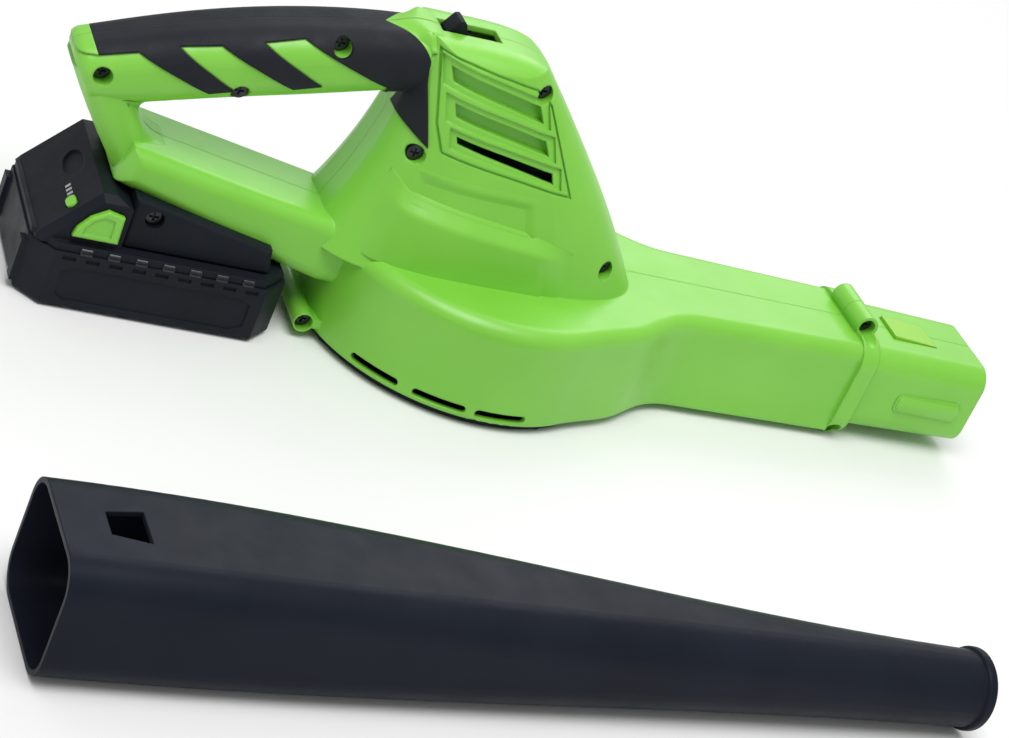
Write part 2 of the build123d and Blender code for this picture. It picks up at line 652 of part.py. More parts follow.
def battery_lower_case():
    with BuildPart() as p:
        with BuildSketch():
            with Locations((BAT_MID, 0)):
                Rectangle(BAT_LEN, 2 * BAT_HALF)
            chamfer(vertices(), BAT_CORNER)
        extrude(amount=BAT_TOP)
        fillet(edges().group_by(Axis.Z)[0], 2.5)
        with BuildSketch(Plane.XY.offset(BAT_WALL)):
            with Locations((BAT_MID, 0)):
                Rectangle(BAT_LEN - 2 * BAT_WALL, 2 * (BAT_HALF - BAT_WALL))
            chamfer(vertices(), BAT_CORNER - 0.56 * BAT_WALL)
        extrude(amount=BAT_TOP, mode=Mode.SUBTRACT)
        low, high, rear, front = 4.0, BAT_TOP - 6, BAT_REAR + 15, BAT_FRONT - 15
        panel = ((rear, low + 2.5), (rear + 5, low), (front - 5, low), (front, low + 2.5),
                 (front, high - 2.5), (front - 5, high), (rear + 5, high), (rear, high - 2.5))
        for side in (-1, 1):
            add(sided(panel, side, BAT_HALF - 0.8, BAT_HALF + 5), mode=Mode.SUBTRACT)
            with BuildSketch(Plane.XZ.offset(-side * BAT_HALF)):
                with Locations((BAT_MID, BAT_TOP - 2.4), (BAT_MID, 0.6)):
                    with GridLocations(9.8, 1, 9, 1):
                        Rectangle(5.6, 2.0)
            extrude(amount=0.9, both=True, mode=Mode.SUBTRACT)
        for y in (-25, 25):
            add(block(BAT_REAR - 2, BAT_REAR + BAT_WALL, y - 3, y + 3, 4, BAT_TOP - 3))
        add([ring_at(x, y, 3.7, 2.0, BAT_TOP) for x, y in BAT_SCREWS])
        add([ring_at(x, y, BORE_R, -1, BAT_TOP + 1) for x, y in BAT_SCREWS], mode=Mode.SUBTRACT)
        add([ring_at(x, y, 2.8, -1, 6) for x, y in BAT_SCREWS], mode=Mode.SUBTRACT)
    return p.part


def ring_at(x, y, radius, z0, z1):
    return peg((x, y, z0), (0, 0, 1), radius, z1 - z0)


def battery_upper_case():
    """Hump with the buttons behind, and the slide rail in front of it."""
    hollow = aft((6, -6), (7, 3), (24.5, 22.8), (28, 22.8), (33, 20.2), (33, -6))
    half, rail = BAT_HALF - 4, BAT_REAR + 35
    with BuildPart() as p:
        add(block(BAT_REAR + 0.8, BAT_FRONT - 1.6, 1 - BAT_HALF, BAT_HALF - 1, BAT_TOP, BAT_TOP + PLATE_T))
        chamfer(edges().filter_by(Axis.Z), BAT_CORNER - 0.5)
        add(prism(HUMP, -half, half))
        rims = edges().filter_by(lambda e: abs(abs(e.center().Y) - half) < 0.1)
        chamfer(rims.filter_by(lambda e: e.center().Z > BAT_TOP + 8 and e.center().X < BAT_REAR + 30), 3)
        add([block(rail, rail + RAIL_LEN, -RAIL_HALF, RAIL_HALF, BAT_TOP + 3, BAT_TOP + 11),
             block(rail, rail + RAIL_LEN, -TEE_HALF, TEE_HALF, BAT_TOP + 7.5, BAT_TOP + 11)])
        end = rail + RAIL_LEN
        add([block(end - 12.4, end + 1, y - 1, y + 1, BAT_TOP + 7.8, BAT_TOP + 12) for y in (-8, 8)],
            mode=Mode.SUBTRACT)
        add(prism(hollow, -20, 20), mode=Mode.SUBTRACT)
        add([button_form(side, SIDE_PLAY, half - 6.8, half + 7) for side in (-1, 1)], mode=Mode.SUBTRACT)
        with BuildSketch(SLOPE.offset(1)):
            with Locations((3, -6)):
                Ellipse(9, 5)
        extrude(amount=-2.0, mode=Mode.SUBTRACT)
        add([led_windows(), charge_button(0.3, 3.2, 1.0)], mode=Mode.SUBTRACT)
        add([ring_at(x, y, BORE_R, BAT_TOP - 6, BAT_TOP + 3) for x, y in BAT_SCREWS], mode=Mode.SUBTRACT)
    return p.part


def led_windows():
    with BuildPart() as p:
        with BuildSketch(SLOPE):
            with Locations((-11, -1.0), (-14, -1.0), (-17, -1.0)):
                Rectangle(1.6, 3.2)
        extrude(amount=-1.0)
    return p.part


def charge_button(play=0.0, deep=2.2, proud=0.8):
    with BuildPart() as p:
        with BuildSketch(SLOPE.offset(proud)):
            with Locations((-23.5, -1.0)):
                SlotOverall(7.0 + 2 * play, 4.6 + 2 * play)
        extrude(amount=-(deep + proud))
    return p.part


def button_form(side, play, inner, outer):
    """Release button outline on one side, grown by its play."""
    with BuildPart() as p:
        with BuildSketch(Plane.XZ.offset(-outer if side > 0 else inner)):
            with BuildLine():
                Polyline(*BUTTON, close=True)
            make_face()
            if play:
                offset(amount=play, kind=Kind.INTERSECTION)
        extrude(amount=outer - inner)
    return p.part


def release_button(side):
    inner, outer = BAT_HALF - 7.6, BAT_HALF - 1.4
    x, z = (sum(v) / len(BUTTON) for v in zip(*BUTTON))
    inset = [(x + (a - x) * 0.62, z + (b - z) * 0.62) for a, b in BUTTON]
    with BuildPart() as p:
        add(button_form(side, 0, inner, outer))
        chamfer(edges().group_by(Axis.Y)[-1 if side > 0 else 0], 0.8)
        add(sided(inset, side, outer - 0.6, outer + 5), mode=Mode.SUBTRACT)
    return p.part


def tube_latch():
    rear, front, half = LATCH_X - LATCH_LEN / 2, LATCH_X + LATCH_LEN / 2, LATCH_HALF + 3
    under = [(x, roof(x) - WALL - 0.3) for x in (rear - 3, front + 3)]
    with BuildPart() as p:
        add(prism(((rear, roof(rear) - 4), (rear, roof(rear) + 3.2), (rear + 3, roof(rear) + 3.4),
                   (front, roof(front) + 0.6), (front, roof(front) - 4)), -LATCH_HALF, LATCH_HALF))
        add(prism((*under, *[(x, z - 2.2) for x, z in reversed(under)]), -half, half))
    return p.part


def air_tube():
    """Detached tube: rounded oblong socket tapering to a round outlet with a beaded rim."""
    half_w = DUCT_HALF - SPIGOT_STEP + TUBE_FIT + TUBE_WALL
    half_h = (VOL_TOP - VOL_BOT) / 2 - SPIGOT_STEP + TUBE_FIT + TUBE_WALL
    rows = ((0, half_w, half_h, 12.5), (SPIGOT_LEN + 5, half_w - 0.8, half_h - 0.8, 12.5),
            (TUBE_LEN * 0.6, half_w * 0.73, half_h * 0.79, 15.5),
            (TUBE_LEN, TUBE_END_R, TUBE_END_R, TUBE_END_R - 0.1))
    lift = BEAD_R - TUBE_END_R
    place = Plane(origin=(TUBE_X, TUBE_Y, 0), x_dir=(cos(radians(TUBE_YAW)), sin(radians(TUBE_YAW)), 0))

    def form(cut):
        with BuildPart() as p:
            for x, wide, high, radius in rows:
                at = (x, 0, high + lift * x / TUBE_LEN)
                with BuildSketch(Plane(origin=at, x_dir=(0, 1, 0), z_dir=(1, 0, 0))):
                    RectangleRounded(2 * (wide - cut), 2 * (high - cut), radius - cut)
            loft(ruled=False)
        return p.part

    with BuildPart() as bead:
        add(peg((TUBE_LEN - BEAD_LEN, 0, BEAD_R), (1, 0, 0), BEAD_R, BEAD_LEN))
        fillet(edges(), 1.6)
        add(peg((TUBE_LEN - BEAD_LEN - 1, 0, BEAD_R), (1, 0, 0), TUBE_END_R - 1, BEAD_LEN + 2),
            mode=Mode.SUBTRACT)
    with BuildPart() as p:
        add(form(0.0))
        add(form(TUBE_WALL), mode=Mode.SUBTRACT)
        add(bead.part)
        with BuildSketch(Plane.XY.offset(half_h + 8)):
            with BuildLine():
                Polyline((17, -6), (17, 6), (31, 8.5), (31, -8.5), close=True)
            make_face()
        extrude(amount=half_h, mode=Mode.SUBTRACT)
    return place * p.part


GREEN, BLACK, SOFT = (0.45, 0.76, 0.22), (0.05, 0.05, 0.06), (0.03, 0.03, 0.035)
STEEL, BRASS, BOARD = (0.7, 0.7, 0.72), (0.8, 0.65, 0.3), (0.05, 0.25, 0.12)
LIME, PALE, BLUE = (0.6, 0.8, 0.2), (0.85, 0.85, 0.8), (0.2, 0.35, 0.6)


def group(pieces):
    with BuildPart() as p:
        add(pieces)
    return p.part


def save(name, part, colour):
    part.label = name
    part.color = Color(*colour)
    export_step(part, os.path.join("parts", f"{name}.step"))


os.makedirs("parts", exist_ok=True)
grip = grip_layer()
shell = housing_shell(grip)
for name, side in (("left", 1), ("right", -1)):
    save(f"{name}_housing", half_of(shell, side), GREEN)
    save(f"{name}_grip", half_of(grip, side), SOFT)
    save(f"release_button_{name}", release_button(side), GREEN)

side_screws = [screw((x, SCREW_DEEP - half - HEAD_H, z), (0, 1, 0), 2 * half - SCREW_DEEP - SCREW_END)
               for x, z, half in SIDE_SCREWS]
save("housing_screws", group(side_screws), STEEL)
save("grille_screws", group([screw((x, y, 0.0), (0, 0, 1), 14) for x, y in GRILLE_SCREWS]), STEEL)
save("intake_grille", intake_grille(), BLACK)
save("impeller", impeller(), BLACK)
save("motor_shaft", ring(SHAFT_R, 0, FAN_TOP - HUB_H - NUT_H - 1.5, CAP_Z + 4), STEEL)
save("fan_nut", fan_nut(), STEEL)
middle = (MOTOR_Z + CAP_Z) / 2 + 2.7
save("rotor_core", ring(ROTOR_R, SHAFT_R, middle - ROTOR_LEN / 2, middle + ROTOR_LEN / 2), STEEL)
save("motor_mount", motor_mount(), BLACK)
save("motor_can", motor_can(), STEEL)
save("motor_end_cap", motor_end_cap(), BLACK)
save("lower_bearing", ring(BEARING_R, SHAFT_R + BORE_PLAY, MOTOR_Z + 2, MOTOR_Z + 2 + BEARING_T), STEEL)
save("upper_bearing", ring(BEARING_R - 1, SHAFT_R + BORE_PLAY, CAP_Z + 2 - BEARING_T, CAP_Z + 2), STEEL)
save("motor_screws", group([screw((x, 0, VOL_TOP - HEAD_H), (0, 0, 1), 8, 3.0)
                            for x in (-MOTOR_SCREW_X, MOTOR_SCREW_X)]), STEEL)
save("switch_slider", switch_slider(), BLACK)
save("switch_body", switch_body(), BLACK)
save("battery_shoe", battery_shoe(), BLACK)
save("shoe_screws", group([screw((SHOE_SCREW[0], side * (SHOE_HALF - 3), SHOE_SCREW[1]), (0, -side, 0), 22)
                           for side in (-1, 1)]), STEEL)
save("terminal_block", terminal_block(), BLACK)
save("contact_blades", contact_blades(), BRASS)
save("battery_lower_case", battery_lower_case(), BLACK)
save("battery_upper_case", battery_upper_case(), BLACK)
save("charge_button", charge_button(), GREEN)
save("led_windows", led_windows(), PALE)
first_cell = BAT_MID - CELL_R * (CELLS - 1)
save("battery_cells", group([peg((first_cell + 2 * CELL_R * i, -CELL_LEN / 2, BAT_WALL + CELL_R), (0, 1, 0),
                                 CELL_R, CELL_LEN) for i in range(CELLS)]), BLUE)
save("battery_board", block(BAT_REAR + 13, BAT_FRONT - 13, 7 - BAT_HALF, BAT_HALF - 7, BAT_WALL + 2 * CELL_R,
                            BAT_WALL + 2 * CELL_R + BOARD_T), BOARD)
save("battery_screws", group([screw((x, y, 3.8), (0, 0, 1), 22, 2.7) for x, y in BAT_SCREWS]), STEEL)
save("tube_latch", tube_latch(), LIME)
save("air_tube", air_tube(), BLACK)
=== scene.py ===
"""Cordless leaf blower and its detached tube on a pale floor, seen as in the photograph."""
import math

import bmesh
import bpy
from mathutils import Matrix, Vector
from mathutils.bvhtree import BVHTree


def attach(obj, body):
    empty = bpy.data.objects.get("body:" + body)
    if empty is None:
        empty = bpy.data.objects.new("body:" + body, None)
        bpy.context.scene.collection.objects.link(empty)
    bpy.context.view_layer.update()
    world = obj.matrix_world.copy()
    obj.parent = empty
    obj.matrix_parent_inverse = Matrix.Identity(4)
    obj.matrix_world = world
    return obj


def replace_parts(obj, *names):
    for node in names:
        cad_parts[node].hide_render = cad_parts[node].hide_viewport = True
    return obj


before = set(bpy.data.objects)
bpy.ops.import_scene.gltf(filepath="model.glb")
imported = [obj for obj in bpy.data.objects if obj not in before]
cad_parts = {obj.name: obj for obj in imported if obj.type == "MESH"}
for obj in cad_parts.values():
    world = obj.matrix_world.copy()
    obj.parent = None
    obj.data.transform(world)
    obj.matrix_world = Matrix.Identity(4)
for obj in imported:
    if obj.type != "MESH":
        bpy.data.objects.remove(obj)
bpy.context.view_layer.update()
scene = bpy.context.scene
scene.view_settings.view_transform = "Standard"


# Camera at the photograph's viewing angle
AZIMUTH, ELEVATION, ROLL = math.radians(-28.7), math.radians(27.3), math.radians(24.5)
CAMERA_AT = Vector((-0.46156, -0.90699, 0.52170))
SENSOR_WIDE, LENS = 36.0, 91.34       # millimetres
NEAREST, FARTHEST = 0.01, 50.0


def make_camera():
    back = Vector((math.sin(AZIMUTH) * math.cos(ELEVATION), -math.cos(AZIMUTH) * math.cos(ELEVATION),
                   math.sin(ELEVATION)))
    right = Vector((math.cos(AZIMUTH), math.sin(AZIMUTH), 0.0))
    down = (-back).cross(right)
    across = math.cos(ROLL) * right - math.sin(ROLL) * down
    lower = math.sin(ROLL) * right + math.cos(ROLL) * down
    turn = Matrix((across, -lower, back)).transposed().to_4x4()
    data = bpy.data.cameras.new("photo_camera")
    data.sensor_width = SENSOR_WIDE
    data.lens = LENS
    data.clip_start, data.clip_end = NEAREST, FARTHEST
    cam = bpy.data.objects.new("photo_camera", data)
    cam.matrix_world = Matrix.Translation(CAMERA_AT) @ turn
    scene.collection.objects.link(cam)
    scene.camera = cam


def linear(red, green, blue):
    """Scene-linear colour from 0 to 255 display values."""
    def one(value):
        c = value / 255.0
        return c / 12.92 if c <= 0.04045 else ((c + 0.055) / 1.055) ** 2.4
    return (one(red), one(green), one(blue), 1.0)


# Materials
NOISE_SPAN = (0.3, 0.7)       # most of a noise lies between these


class Shader:
    """A node material with short helpers for the patterns that the plastics share."""

    def __init__(self, name, colour, rough, metallic=0.0):
        self.mat = bpy.data.materials.new(name)
        self.mat.use_nodes = True
        self.tree = self.mat.node_tree
        self.bsdf = self.tree.nodes["Principled BSDF"]
        self.bsdf.inputs["Base Color"].default_value = colour
        self.bsdf.inputs["Roughness"].default_value = rough
        self.bsdf.inputs["Metallic"].default_value = metallic
        self.mat.diffuse_color = colour
        self.place = self.node("ShaderNodeTexCoord").outputs["Object"]
        self.normal = None

    def node(self, kind, **values):
        made = self.tree.nodes.new(kind)
        for key, value in values.items():
            setattr(made, key, value)
        return made

    def link(self, source, target):
        self.tree.links.new(source, target)

    def noise(self, scale, detail, rough=0.5, stretch=None):
        made = self.node("ShaderNodeTexNoise")
        made.inputs["Scale"].default_value = scale
        made.inputs["Detail"].default_value = detail
        made.inputs["Roughness"].default_value = rough
        source = self.place
        if stretch:
            mapping = self.node("ShaderNodeMapping")
            mapping.inputs["Scale"].default_value = stretch
            self.link(source, mapping.inputs["Vector"])
            source = mapping.outputs["Vector"]
        self.link(source, made.inputs["Vector"])
        return made.outputs["Fac"]

    def ramp(self, source, low, high):
        made = self.node("ShaderNodeValToRGB")
        first, last = made.color_ramp.elements
        first.position, last.position = NOISE_SPAN
        first.color, last.color = low, high
        self.link(source, made.inputs["Fac"])
        return made.outputs["Color"]

    def span(self, source, low, high):
        made = self.node("ShaderNodeMapRange")
        made.inputs["From Min"].default_value, made.inputs["From Max"].default_value = NOISE_SPAN
        made.inputs["To Min"].default_value, made.inputs["To Max"].default_value = low, high
        self.link(source, made.inputs["Value"])
        return made.outputs["Result"]

    def colour(self, source):
        self.link(source, self.bsdf.inputs["Base Color"])

    def roughness(self, source):
        self.link(source, self.bsdf.inputs["Roughness"])

    def soften(self, radius):
        """Rounded look for the moulded edges."""
        made = self.node("ShaderNodeBevel", samples=6)
        made.inputs["Radius"].default_value = radius
        self.normal = made.outputs["Normal"]

    def bump(self, source, depth):
        made = self.node("ShaderNodeBump")
        made.inputs["Strength"].default_value = 1.0
        made.inputs["Distance"].default_value = depth
        self.link(source, made.inputs["Height"])
        if self.normal is not None:
            self.link(self.normal, made.inputs["Normal"])
        self.normal = made.outputs["Normal"]

    def done(self):
        if self.normal is not None:
            self.link(self.normal, self.bsdf.inputs["Normal"])
        return self.mat


def moulded(name, low, high, rough, grain, depth, edge, specular=0.5):
    """Moulded plastic: slow colour drift, uneven gloss, fine spark-eroded grain and softened edges."""
    s = Shader(name, high, sum(rough) / 2)
    s.colour(s.ramp(s.noise(scale=22.0, detail=3.0), low, high))
    s.roughness(s.span(s.noise(scale=75.0, detail=4.0, rough=0.6), *rough))
    s.bsdf.inputs["Specular IOR Level"].default_value = specular
    s.soften(edge)
    s.bump(s.noise(scale=grain, detail=1.0), depth)
    return s.done()


def metal(name, low, high, rough):
    """Bare or plated metal: slow colour drift, and a gloss in fine level bands."""
    s = Shader(name, high, rough, metallic=1.0)
    s.colour(s.ramp(s.noise(scale=160.0, detail=3.0), low, high))
    streaks = s.noise(scale=420.0, detail=2.0, stretch=(1.0, 1.0, 12.0))
    s.roughness(s.span(streaks, rough - 0.07, rough + 0.1))
    s.soften(radius=0.0003)
    s.bump(s.noise(scale=1800.0, detail=2.0), depth=0.00001)
    return s.done()


def rubber(name, low, high):
    """Soft overmould: matt, pebbled, with a faint bloom."""
    s = Shader(name, high, rough=0.6)
    s.colour(s.ramp(s.noise(scale=35.0, detail=4.0), low, high))
    s.roughness(s.span(s.noise(scale=90.0, detail=3.0), 0.5, 0.66))
    s.bsdf.inputs["Specular IOR Level"].default_value = 0.22
    s.bsdf.inputs["Sheen Weight"].default_value = 0.03
    s.bsdf.inputs["Sheen Roughness"].default_value = 0.5
    s.soften(radius=0.0009)
    cells = s.node("ShaderNodeTexVoronoi")
    cells.inputs["Scale"].default_value = 1500.0
    s.link(s.place, cells.inputs["Vector"])
    s.bump(cells.outputs["Distance"], depth=0.00006)
    return s.done()


def clear_window(name, colour):
    """Cloudy clear plastic."""
    s = Shader(name, colour, rough=0.25)
    s.bsdf.inputs["Transmission Weight"].default_value = 0.35
    s.bsdf.inputs["IOR"].default_value = 1.49
    s.roughness(s.span(s.noise(scale=300.0, detail=2.0), 0.2, 0.34))
    s.bump(s.noise(scale=900.0, detail=1.0), depth=0.00002)
    return s.done()


def finishes():
    """The nodes that have each finish. The glossy plastic is only on pieces made here."""
    green = moulded("green_plastic", linear(122, 198, 60), linear(129, 205, 68),
                    rough=(0.3, 0.42), grain=2600.0, depth=0.00002, edge=0.0012, specular=0.6)
    lime = moulded("latch_plastic", linear(140, 203, 60), linear(149, 210, 70),
                   rough=(0.3, 0.42), grain=2600.0, depth=0.00002, edge=0.0006)
    black = moulded("case_plastic", linear(20, 24, 31), linear(26, 30, 38),
                    rough=(0.44, 0.58), grain=2100.0, depth=0.00004, edge=0.0008, specular=0.15)
    gloss = moulded("gloss_plastic", linear(22, 26, 33), linear(28, 32, 40),
                    rough=(0.16, 0.24), grain=1500.0, depth=0.00001, edge=0.0004)
    tube = moulded("tube_plastic", linear(24, 28, 37), linear(29, 33, 43),
                   rough=(0.34, 0.44), grain=1500.0, depth=0.00002, edge=0.0008, specular=0.07)
    inner = moulded("inner_plastic", linear(24, 25, 29), linear(30, 31, 35),
                    rough=(0.5, 0.62), grain=1900.0, depth=0.00003, edge=0.0004, specular=0.25)
    grip = rubber("grip_rubber", linear(22, 25, 32), linear(28, 31, 39))
    steel = metal("plated_steel", linear(120, 122, 126), linear(150, 152, 156), rough=0.34)
    screw = metal("dark_screw", linear(58, 60, 64), linear(78, 80, 84), rough=0.38)
    brass = metal("contact_brass", linear(178, 148, 82), linear(206, 176, 104), rough=0.3)
    wrap = moulded("cell_wrap", linear(52, 84, 140), linear(62, 96, 152),
                   rough=(0.28, 0.36), grain=1200.0, depth=0.00001, edge=0.0004)
    board = moulded("board_laminate", linear(20, 74, 44), linear(28, 88, 54),
                    rough=(0.4, 0.5), grain=1600.0, depth=0.00002, edge=0.0002)
    window = clear_window("light_window", linear(190, 194, 190))
    return {
        green: ("left_housing", "right_housing", "release_button_left", "release_button_right",
                "charge_button"),
        lime: ("tube_latch",),
        grip: ("left_grip", "right_grip"),
        black: ("intake_grille", "switch_slider", "battery_shoe", "battery_lower_case",
                "battery_upper_case"),
        gloss: (),
        tube: ("air_tube",),
        inner: ("impeller", "motor_mount", "motor_end_cap", "switch_body", "terminal_block"),
        steel: ("motor_shaft", "fan_nut", "rotor_core", "motor_can", "lower_bearing", "upper_bearing",
                "motor_screws"),
        screw: ("housing_screws", "grille_screws", "shoe_screws", "battery_screws"),
        brass: ("contact_blades",),
        wrap: ("battery_cells",),
        board: ("battery_board",),
        window: ("led_windows",),
    }


def dress():
    """Gives every node its finish and returns the finishes by name."""
    made = finishes()
    for material, names in made.items():
        for name in names:
            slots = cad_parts[name].material_slots
            if not len(slots):
                raise RuntimeError(f"{name} has no material slot")
            for slot in slots:
                slot.material = material
    return {material.name: material for material in made}


# Pieces made here, fitted to the housing
SIDES = {"right": -1, "left": 1}
OUTSIDE = 0.2                 # rays start this far out, where nothing is in their way
SAME_POINT = 1e-6             # corners nearer than this are one
SMOOTH_BELOW = math.radians(35.0)
SHEET_WALL = 0.0008           # pockets, slopes and the boss pad
DRAWN_WALL = 0.0012           # nose and brow
SEAM_HALF = 0.0003            # the two halves of a piece end this far from the middle plane
OFF_SEAM = 0.0012             # the skin is measured no nearer to the seam than this
# Rims of these pieces: how wide, how much of it lies over the skin, how far over it and then under it
RIM_WIDE = 0.0030
RIM_FLAT = 0.0013
RIM_OVER = 0.0001
RIM_UNDER = 0.00015
# Slots of the tower that end in a green floor, as x and z
VENTS = (((-0.0560, 0.1358), (-0.0129, 0.1283), (-0.0091, 0.1214), (-0.0534, 0.1298)),
         ((-0.0500, 0.1217), (-0.0054, 0.1146), (-0.0019, 0.1085), (-0.0477, 0.1160)))
VENT_LIP = 0.0010             # the pocket is wider than its slot by this
VENT_ROOT = 0.0010            # its walls start this deep in the housing wall
VENT_DEPTH = 0.0052
VENT_PARTS = 10
# The grip ends before the rear of the handle, and leaves a tongue of the tower top green
GRIP_REAR = (Vector((-0.1965, 0.0, 0.1048)), Vector((-0.83, 0.0, -0.557)))
TONGUE_TIP = Vector((-0.0836, 0.0, 0.1430))
TONGUE_WAY = Vector((1.0, 1.0, 0.35))
# Raised bars on the sides of the spigot
PAD_MID = Vector((0.2365, 0.0274, 0.0243))
PAD_SIZE = (0.0350, 0.0082)
PAD_RADIUS = 0.0030
PAD_STEPS = 5                 # parts of a rounded corner
PAD_PROUD = 0.0009
PAD_DRAFT = 0.0008            # its top is smaller by this all round
PAD_SHOULDER = 0.45           # share of the height where the draft starts
PAD_BURY = 0.0010
# Flared foot of the tower: x and z along its ledge and along its base, and how far it stands out there
LEDGE = ((-0.0650, 0.0870), (-0.0560, 0.0812), (-0.0200, 0.0774), (0.0060, 0.0742), (0.0240, 0.0700))
FOOT = ((-0.0740, 0.0500), (-0.0620, 0.0490), (-0.0200, 0.0480), (0.0140, 0.0480), (0.0300, 0.0480))
FOOT_SHARE = ((0.0,), (1.0,), (1.0,), (1.0,), (0.0,))
FOOT_PROUD = 0.0036           # over the plain flank
FOOT_LOSS = 0.4               # share of that which is lost down to the base
FOOT_SLOPE = 0.24             # share of the height that the ledge takes up
FOOT_WALL = 0.0022
FOOT_BURY = 0.0004            # its rim goes this deep into the housing
FOOT_CAST = 0.0535            # lowest level at which the flank is measured
FLANK_LEAN = 0.17             # how the flank goes on below that
PLAIN_STRIP = 0.0026          # the flank is plain this far under the ledge
# Recess over the ledge: where it ends along the ledge, its depth, and how softly the foot follows its ends
PANEL_SPAN = (-0.0560, 0.0045)
PANEL_DEEP = 0.0012
PANEL_FADE = 0.0040
# Slopes that soften that recess: its x and z from the rear top round to the rear low corner
RECESS = ((-0.0547, 0.0897), (-0.0014, 0.0884), (0.0037, 0.0734), (-0.0555, 0.0795))
RECESS_SLOPE = 0.0050
RECESS_INSIDE = 0.0004        # the floor is measured this far from the edge
# Front of the tower under its rounded top: levels between which the nose is closed, and half its width
NOSE_SPAN = (0.1206, 0.1284)
NOSE_HALF = 0.0192
NOSE_SINK = 0.00036           # its side ends this deep under the skin
# Ramp from the green tongue up to the top of the tower
BROW_HALF = 0.0155
BROW_STEP = 0.0002            # steps in which its half width is searched
BROW_LEAST = 0.0030           # the ramp is at least this long
BROW_FADE = 0.0040            # it sinks away over this width at its side
BROW_SINK = 0.0050
BROW_DROP = 0.0090            # it starts no lower than this under its crest
BROW_STOP = 0.0016            # its full height starts this far before the tower
BROW_READS = 4                # places over that length where the soft layer is measured
BROW_RUN = 0.0075             # it runs out this far on the top of the tower
BROW_ROUNDS = 3               # rounds that settle its start on the curved grip
BEHIND_TOWER, BEFORE_TOWER, ON_TOWER = -0.1200, -0.0700, -0.0600
# Round pad over the end of a screw boss on the left flank, as x and z, and its radii
BOSS_AT = (-0.0602, 0.0959)
BOSS_RINGS = (0.0006, 0.0014, 0.0022, 0.0030, 0.0038)
BOSS_READ = 0.0022            # the flank is plain from here on
BOSS_PARTS = 24
# Rounded corners at the rear of the handle opening, and the levels and places where its faces are measured
OPENING_X = -0.1300
OPENING_Z = 0.0800
UPRIGHT_AT = (0.0735, 0.0775)
UNDERSIDE_AT = (0.0890, 0.0915)
STRUT_AT = (-0.1600, -0.1540)
CORNER_HALF = 0.0142
CORNER_REACH = 0.0085
CORNER_SHARES = (1.0, 0.7)    # of the reach along the upright, at the strut and at the handle
CORNER_LEAST = 0.08           # share of the reach that is left at its side
CORNER_FADE = 0.0070
CORNER_TAIL = 0.0020          # its rims go on this far under the skin
CORNER_BURY = 0.0010
# Slide switch: the thumb ridge stands on the slider at this level
THUMB_AT = (-0.0520, 0.1432)
THUMB_HALF = 0.0046
THUMB_BURY = 0.0004
THUMB = ((-0.0048, 0.0), (-0.0042, 0.0016), (-0.0012, 0.0064), (0.0006, 0.0068), (0.0020, 0.0058),
         (0.0034, 0.0024), (0.0044, 0.0016), (0.0048, 0.0))
# Ribs over the joint of the battery case: first x, pitch, count, half length, and a section as y and z
TEETH_AT, TEETH_PITCH, TEETH = -0.1803, 0.0116, 7
TOOTH_HALF = 0.0027
TOOTH_END = 0.0004
TOOTH = ((0.0355, 0.0256), (0.03695, 0.0256), (0.03695, 0.0276), (0.0364, 0.0284), (0.0355, 0.0289))
# Top of the tube latch
LATCH_TOP = (Vector((0.2140, 0.0, 0.0496)), Vector((0.0645, 0.0, 0.998)))


def skin_of(node):
    """The surface of a node, for measuring."""
    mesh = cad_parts[node].data
    return BVHTree.FromPolygons([v.co for v in mesh.vertices], [p.vertices for p in mesh.polygons])


def met(skin, start, way):
    """Where a ray first meets a skin."""
    hit = skin.ray_cast(Vector(start), Vector(way))[0]
    if hit is None:
        raise RuntimeError(f"no skin on the way from {start}")
    return hit


def flank(skin, x, z):
    """Distance of the left half's outer surface from the middle plane: its flank has no screw recesses."""
    return met(skin, (x, OUTSIDE, z), (0.0, -1.0, 0.0)).y


def nose_front(skin, side, y, z):
    """The x of the housing's front at a height."""
    return met(skin, (OUTSIDE, side * max(y, OFF_SEAM), z), (-1.0, 0.0, 0.0)).x


def top_of(skin, side, x, y):
    """Height of a skin seen from above, and 0 beside it."""
    hit = skin.ray_cast(Vector((x, side * max(y, OFF_SEAM), OUTSIDE)), Vector((0.0, 0.0, -1.0)))[0]
    return hit.z if hit else 0.0


def piece_from(bm, name, material, body="body"):
    """A finished piece that rides on a body, smooth but for its sharper edges."""
    bmesh.ops.recalc_face_normals(bm, faces=bm.faces)
    mesh = bpy.data.meshes.new(name)
    bm.verts.index_update()
    mesh.from_pydata([v.co[:] for v in bm.verts], [], [[v.index for v in f.verts] for f in bm.faces])
    bm.free()
    mesh.polygons.foreach_set("use_smooth", [True] * len(mesh.polygons))
    mesh.set_sharp_from_angle(angle=SMOOTH_BELOW)
    mesh.materials.append(material)
    piece = bpy.data.objects.new(name, mesh)
    scene.collection.objects.link(piece)
    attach(piece, body)
    return piece


def grown(corners, by):
    """Slot outline made wider and higher: rear top, front top, front low and rear low corner."""
    ways = ((-1, 1), (1, 1), (1, -1), (-1, -1))
    return [(x + by * right, z + by * up) for (x, z), (right, up) in zip(corners, ways)]


def along(points, share):
    """Point at a share of an evenly counted broken line."""
    at = share * (len(points) - 1)
    i = min(int(at), len(points) - 2)
    return [a + (b - a) * (at - i) for a, b in zip(points[i], points[i + 1])]


def eased(share):
    """Share from 0 to 1 with a soft start and end."""
    share = min(max(share, 0.0), 1.0)
    return share * share * (3.0 - 2.0 * share)


def apron(away):
    """Height of a piece's rim over the skin: a hair above it near the edge that it hides, then under it."""
    return RIM_OVER - (RIM_OVER + RIM_UNDER) * eased((away - RIM_FLAT) / (RIM_WIDE - RIM_FLAT))


def join_columns(bm, grid):
    """Faces of an open sheet between its neighbouring columns."""
    for left, right in zip(grid, grid[1:]):
        for corners in zip(left, left[1:], right[1:], right):
            bm.faces.new(corners)


